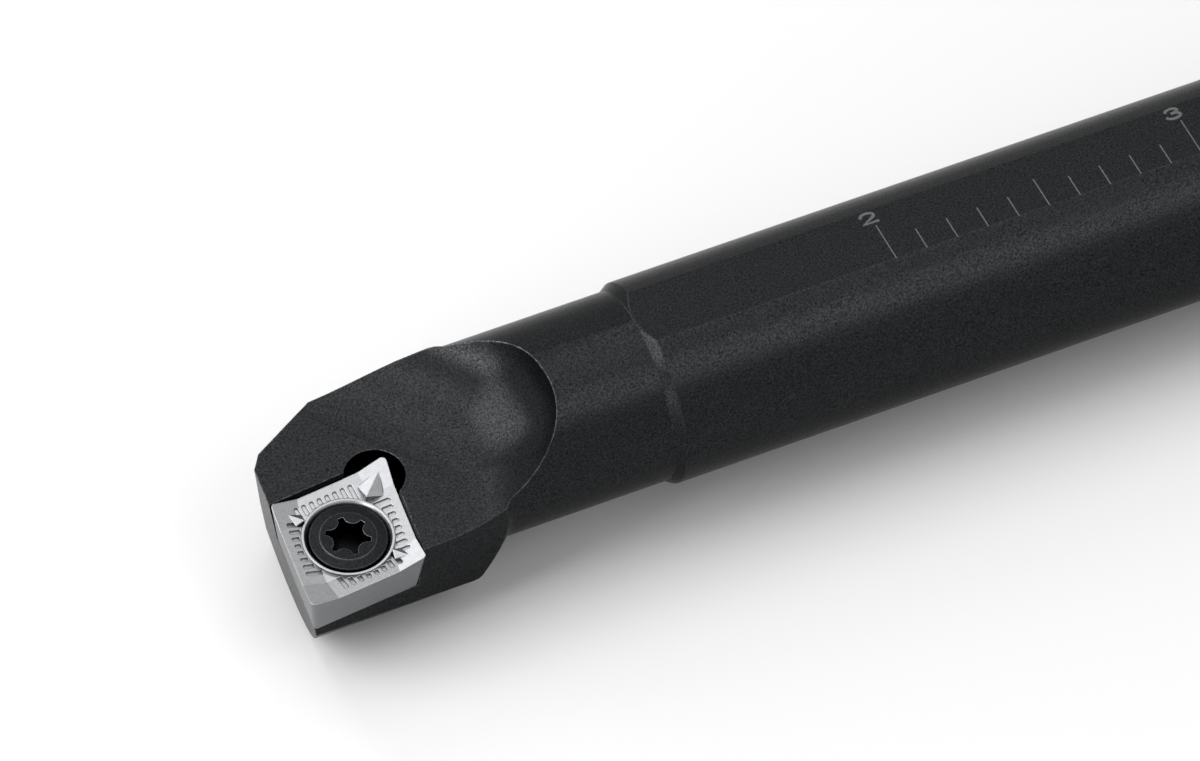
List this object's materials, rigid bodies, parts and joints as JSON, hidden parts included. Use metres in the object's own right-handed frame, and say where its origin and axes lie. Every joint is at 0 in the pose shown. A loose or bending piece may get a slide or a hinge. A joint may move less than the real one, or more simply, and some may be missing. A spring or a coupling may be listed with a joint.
{
  "type": "boring bar",
  "caption": "Round-shank internal turning bar with flats, stepped neck, scooped chip gullet and a screw-clamped rhombic cutting insert at its right-hand head.",
  "frame": {"origin": "middle of the rear end face, on the shank's axis", "axes": "+X along the shank's axis, from the cutting head towards the rear end; +Z square to the two clamping flats, on the side the insert's top faces; the cutting nose points to -Y"},
  "size_m": [0.2032, 0.018, 0.0175],
  "materials": {
    "bar_steel": "black oxide over fine machined alloy steel, satin with a slightly grainy sheen",
    "insert_carbide": "uncoated cemented carbide, ground bright on top and satin mid grey on the flanks",
    "screw_steel": "black oxide, lightly oiled, satin"
  },
  "bodies": {
    "root": {"bar": "bar_steel", "insert": "insert_carbide", "insert_screw": "screw_steel"}
  },
  "joints": []
}
